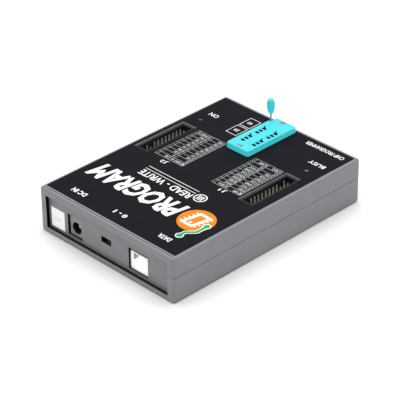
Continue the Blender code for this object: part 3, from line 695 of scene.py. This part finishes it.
FIT, FILM = 0.06, 0.15                   # room round the film, and its thickness
LINE_Y = 61.75                           # a fine groove along the rear edge
upper_cuts = [block(widened(top_x, -LIP_IN + 0.3), widened(top_y, -LIP_IN + 0.3),
                    (upper_z[0] - 1, UNDERSIDE + 14.8)),
              block(widened(top_x, -WALL), (-CAVITY, CAVITY), (upper_z[0] - 1, ROOF)),
              *end_spaces((upper_z[0] - 1, OPENING_Z[1]), (upper_z[0] - 1, GROOVE_Z[1])),
              block(widened(overlay_x, FIT), widened(overlay_y, FIT), (TOP - FILM - 0.02, TOP + 1), 0.6),
              block(overlay_x, span(LINE_Y, 0.35), (TOP - 0.4, TOP + 1)),
              *windows(ROOF - 1, TOP + 1, 1.9)]
upper_shell = mould("upper_shell", block(top_x, top_y, upper_z, CORNER, top=TOP_ROUND, steps=6),
                    cuts=upper_cuts, edge=0.1)
fit(upper_shell, case_grey, CASE, "case_plastic", "top_shell")
painted_edge_highlight = surface("painted_edge_highlight", (0.46, 0.46, 0.48), (0.40, 0.40, 0.42), 0.35, 0.22, 0.01)
# Painted shade: near-black on the recess walls, the parting lip and the fine groove along the rear edge, for
# the shade inside them.
repaint(upper_shell, deep_grey, lambda spot, way: in_recess(spot, way) or (
    abs(spot.y - LINE_Y) < 0.19 and TOP - 0.6 < spot.z < TOP - 0.05))
# Painted highlight: the walls of the windows and a strip of the top along the rear edge are painted a paler
# grey, for the light that catches these edges.
repaint(upper_shell, painted_edge_highlight, lambda spot, way: (
    ROOF < spot.z < TOP - 0.1 and abs(way.z) < 0.4 and abs(spot.x) < 43 and abs(spot.y) < 60.9)
    or (spot.z > TOP - 0.02 and 60.6 < spot.y < 61.57))
for spot in SCREWS:
    boss = mould("upper_boss", rod(spot, 3.8, UNDERSIDE + 13.5, ROOF + 0.2, sides=48),
                 cuts=[rod(spot, 1.5, UNDERSIDE + 12, UNDERSIDE + 20.0)])
    fit(boss, case_grey, CASE, "case_plastic")

# ---------------------------------------------------------------------------------------
# Overlay and its printing. A satin black polyester sheet stuck in the recess; white, grey,
# orange and green inks are screen-printed on it.
film_black = surface("film_black", (0.0098, 0.0097, 0.0138), (0.0085, 0.0084, 0.0120), 0.36, 0.12, 0.003)
dull(film_black, 0.03)
sheet = mould("overlay_film", block(overlay_x, overlay_y, (TOP - FILM, TOP), 0.6),
              cuts=windows(TOP - 1, TOP + 1, 1.3, 0.12), edge=0.03, steps=2)
fit(sheet, film_black, CASE, "overlay_black", "top_overlay")
ink_white = surface("ink_white", (0.93, 0.93, 0.93), (0.88, 0.88, 0.88), 0.6, 0.2, 0.002)
ink_line = surface("ink_line", (0.62, 0.62, 0.63), (0.54, 0.54, 0.55), 0.6, 0.2, 0.002)
ink_orange = surface("ink_orange", (0.78, 0.235, 0.008), (0.73, 0.215, 0.006), 0.5, 0.2, 0.002)
dull(ink_orange, 0.12)
ink_green = surface("ink_green", (0.028, 0.40, 0.185), (0.020, 0.35, 0.155), 0.5, 0.2, 0.002)
dull(ink_green, 0.12)

# Levels of the printed inks, each a hair above the one it covers.
INK = (TOP - 0.012, TOP + 0.014)
OVER = (TOP - 0.012, TOP + 0.022)
OVER_TWICE = (TOP - 0.012, TOP + 0.030)
PAD, PAD_TWICE = (TOP - 0.014, TOP + 0.026), (TOP - 0.014, TOP + 0.034)


def words(text, x, y, bold=0.0, slant=0.0, width=None, layer=INK):
    """Printed letters that fill a box, or start at its left edge at a share of natural width."""
    curve = bpy.data.curves.new("words", 'FONT')
    curve.body = text
    curve.resolution_u = 2
    curve.offset, curve.shear, curve.extrude = bold, slant, 0.01
    holder = bpy.data.objects.new("words", curve)
    bpy.context.scene.collection.objects.link(holder)
    bpy.context.view_layer.update()
    graph = bpy.context.evaluated_depsgraph_get()
    mesh = bpy.data.meshes.new_from_object(holder.evaluated_get(graph))
    bpy.data.objects.remove(holder)
    bm = bmesh.new()
    bm.from_mesh(mesh)
    bpy.data.meshes.remove(mesh)
    bmesh.ops.remove_doubles(bm, verts=bm.verts, dist=1e-5)
    low = [min(v.co[i] for v in bm.verts) for i in range(2)]
    high = [max(v.co[i] for v in bm.verts) for i in range(2)]
    tall = (y[1] - y[0]) / (high[1] - low[1])
    wide = tall * width if width else (x[1] - x[0]) / (high[0] - low[0])
    for v in bm.verts:
        v.co = Vector((x[0] + (v.co.x - low[0]) * wide, y[0] + (v.co.y - low[1]) * tall,
                       layer[0] if v.co.z < 0 else layer[1])) * MM
    return bm


def oval(centre, half, slant=0.0, sides=56):
    """An oval outline that leans to the right by slant."""
    points = []
    for k in range(sides):
        turn = 2 * math.pi * k / sides
        px, py = half[0] * math.cos(turn), half[1] * math.sin(turn)
        points.append((centre[0] + px + slant * py, centre[1] + py))
    return points


def ring(centre, outer, inner, slant=0.0, layer=INK, sides=56):
    """A printed ring between two ovals."""
    bm = bmesh.new()
    loops = []
    for half in (outer, inner):
        for level in layer:
            loops.append([bm.verts.new(Vector((*p, level)) * MM) for p in oval(centre, half, slant, sides)])
    outer_low, outer_high, inner_low, inner_high = loops
    for a, b in ((outer_low, outer_high), (outer_high, inner_high),
                 (inner_high, inner_low), (inner_low, outer_low)):
        for k in range(sides):
            bm.faces.new((a[k - 1], a[k], b[k], b[k - 1]))
    bmesh.ops.recalc_face_normals(bm, faces=bm.faces)
    return bm


def bar(x, y, layer=INK):
    """A printed bar or line."""
    return block(x, y, layer)


def frame_of(x, y, width, layer=INK):
    """A thin rectangle drawn by its four sides."""
    return [bar((x[0], x[1]), (y[0], y[0] + width), layer), bar((x[0], x[1]), (y[1] - width, y[1]), layer),
            bar((x[0], x[0] + width), (y[0] + width, y[1] - width), layer),
            bar((x[1] - width, x[1]), (y[0] + width, y[1] - width), layer)]


white = [words("DATA", (-33.6, -26.0), (51.5, 54.6), bold=0.035),
         words("0 - 1", (-4.4, 3.8), (51.9, 54.9), bold=0.035),
         words("DC IN", (23.4, 32.7), (52.2, 55.4), bold=0.035),
         words("PROGRAM", (-19.6, 40.2), (26.3, 40.0), bold=0.038, slant=0.25),
         words("READ - WRITE", (-12.5, 21.8), (17.4, 22.1), bold=0.015),
         bar((-12.4, 22.2), span(16.0, 0.35)),
         bar((-12.4, 22.2), span(13.7, 0.35)),
         words("J1", (-21.6, -17.4), (3.7, 6.5), bold=0.01),
         words("J2", (18.0, 22.2), (4.2, 7.2), bold=0.01),
         words("BUSY", (-40.0, -30.0), (-45.7, -42.9), bold=0.015),
         words("ON", (32.4, 38.2), (-45.4, -42.4), bold=0.015),
         words("CHIP PROGRAMMER", (-40.9, -16.4), (-58.4, -55.5), bold=0.02),
         ring((-16.9, 17.4), (3.5, 3.5), (2.9, 2.9)),
         *[bar(span(-16.9 + step, 0.8), (15.6, 19.2)) for step in (-1.3, 0.0, 1.3)],
         bar((-18.9, -14.9), span(17.4, 0.7))]
white += frame_of((12.9, 20.0), (-45.4, -36.7), 0.3)
white += frame_of((12.9, 20.0), (-55.1, -46.4), 0.3)
white += [bar((15.9, 16.2), (-46.5, -45.3)), words("28", (15.0, 18.0), (-42.2, -39.9)),
          words("40", (15.0, 18.0), (-51.9, -49.6))]
names = {-1: ["VPP", "RST", "VCC", "GND", "CLK", "DAT", "SCK", "SDI", "", "SDO"],
         1: ["PORT A", "", "A0", "A1", "A2", "A3", "B0", "B1", "B2", "B3"]}
TABLES = {-1: (-28.45, -9.65), 1: (10.45, 29.7)}
ROW_STEP, TABLE_TOP = 3.06, 2.8
lines = []
for side, (left, right) in TABLES.items():
    rules = (0, 1.55, 9.3, 10.95, 17.25, 18.65) if side < 0 else (0, 1.55, 8.6, 10.4, 17.6, 19.1)
    for rule in rules:
        lines.append(bar((left + rule, left + rule + 0.15), (TABLE_TOP - 10 * ROW_STEP, TABLE_TOP)))
    for row in range(11):
        level = TABLE_TOP - row * ROW_STEP
        lines.append(bar((left + 0.15, right - 0.15), (level - 0.08, level + 0.08), OVER))
    for row in range(10):
        low = TABLE_TOP - (row + 1) * ROW_STEP + 0.85
        high = low + 1.55
        if names[side][row]:
            white.append(words(names[side][row], (left + 2.3, 0), (low, high), width=0.85))
            white.append(words(names[side][9 - row] or "NC", (left + 11.6, 0), (low, high), width=0.85))
        lines.append(words(str(2 * row + 1), (left + 0.35, left + 1.35), (low, high)))
        lines.append(words(str(2 * row + 2), (left + 9.55, left + 10.85), (low, high)))
fit(gathered("print_white", white), ink_white, CASE, "overlay_black")
fit(gathered("print_lines", lines), ink_line, CASE, "overlay_black")
disc = extruded(oval((-29.8, 32.6), (9.4, 9.4), sides=96), INK, 'Z')
fit(gathered("print_disc", [disc]), ink_orange, CASE, "overlay_black")

# The mark in the disc is a plain leaning chip seen from above: an open body, ten legs, a dot.
LEAN = 0.22


def leaning(points):
    """Points round the middle of the mark, leaning to the right like the big word."""
    return [(-29.4 + a + LEAN * b, 32.4 + b) for a, b in points]


mark = []
for low, high in (((-3.9, -6.0), (-2.2, 6.0)), ((2.2, -6.0), (3.9, 6.0)),
                  ((-2.2, -6.0), (2.2, -4.3)), ((-2.2, 4.3), (2.2, 6.0))):
    mark.append(extruded(leaning([low, (high[0], low[1]), high, (low[0], high[1])]), OVER, 'Z'))
for level in (-4.5, -2.25, 0.0, 2.25, 4.5):
    for start in (-5.3, 3.9):
        mark.append(extruded(leaning([(start, level - 0.4), (start + 1.4, level - 0.4),
                                      (start + 1.4, level + 0.4), (start, level + 0.4)]), OVER, 'Z'))
mark.append(extruded(oval(leaning([(0.0, 3.0)])[0], (0.8, 0.8)), OVER, 'Z'))

# A printed circuit track runs up beside the disc between two round pads: green, edged in white.
accent = [(-37.0, 33.0), (-37.0, 39.6), (-33.2, 43.4), (-33.2, 47.0)]
edged = [trail(accent, 2.7, *OVER), extruded(oval(accent[0], (2.1, 2.1)), PAD, 'Z'),
         extruded(oval(accent[-1], (2.1, 2.1)), PAD, 'Z')]
fit(gathered("print_mark", mark + edged), ink_white, CASE, "overlay_black")
track = [trail(accent, 1.7, *OVER_TWICE), extruded(oval(accent[0], (1.6, 1.6)), PAD_TWICE, 'Z'),
         extruded(oval(accent[-1], (1.6, 1.6)), PAD_TWICE, 'Z')]
fit(gathered("print_accent", track), ink_green, CASE, "overlay_black")

# ---------------------------------------------------------------------------------------
# Case screws. Four plated cross-head screws, driven up through deep seats in the underside.
coat(screw_steel, *["case_screw_%d" % n for n in (1, 2, 3, 4)])

# ---------------------------------------------------------------------------------------
# Photo table: a pale floor, one large soft light overhead and an even white sky.
floor_white = surface("floor_white", (0.93, 0.93, 0.93), (0.92, 0.92, 0.92), 0.7, 2.0, 0.0)
floor = as_object("floor", block((-1500, 1500), (-1500, 1500), (-10, 0)))
floor.data.materials.append(floor_white)

lamp_data = bpy.data.lights.new("softbox", 'AREA')
lamp_data.shape = 'SQUARE'
lamp_data.size = 1.4
lamp_data.energy = 12.5
softbox = bpy.data.objects.new("softbox", lamp_data)
softbox.location = (0.08, -0.08, 1.0)
softbox.rotation_euler = (0, 0, math.radians(45))
bpy.context.scene.collection.objects.link(softbox)

# A black card stands behind the camera, so that edges facing it turn a little darker.
dark_card = as_object("dark_card", block((-650, 650), (-2, 2), (0, 1100)))
dark_card.data.materials.append(deep_grey)
dark_card.location = (-0.93, 0.907, 0)
dark_card.rotation_euler = (0, 0, math.radians(45.7))
dark_card.visible_camera = False

world = bpy.data.worlds.new("sky")
world.use_nodes = True
world.node_tree.nodes["Background"].inputs["Color"].default_value = (1, 1, 1, 1)
world.node_tree.nodes["Background"].inputs["Strength"].default_value = 0.62
bpy.context.scene.world = world

azimuth, elevation, roll = math.radians(225.7307), math.radians(31.5428), math.radians(-0.6234)
back = Vector((math.sin(azimuth) * math.cos(elevation), -math.cos(azimuth) * math.cos(elevation),
               math.sin(elevation)))
level_right = Vector((0, 0, 1)).cross(back).normalized()
level_up = back.cross(level_right)
right = level_right * math.cos(roll) + level_up * math.sin(roll)
up = level_up * math.cos(roll) - level_right * math.sin(roll)
view = Matrix((right, up, back)).transposed().to_4x4()
view.translation = right * -0.000914 + up * 0.006870 + back * 0.96728 + Vector((0, 0, UNDERSIDE * MM))
camera_data = bpy.data.cameras.new("camera")
camera_data.lens, camera_data.sensor_width = 177.94, 36
camera = bpy.data.objects.new("camera", camera_data)
camera.matrix_world = view
bpy.context.scene.collection.objects.link(camera)
bpy.context.scene.camera = camera
bpy.context.scene.view_settings.view_transform = 'Standard'
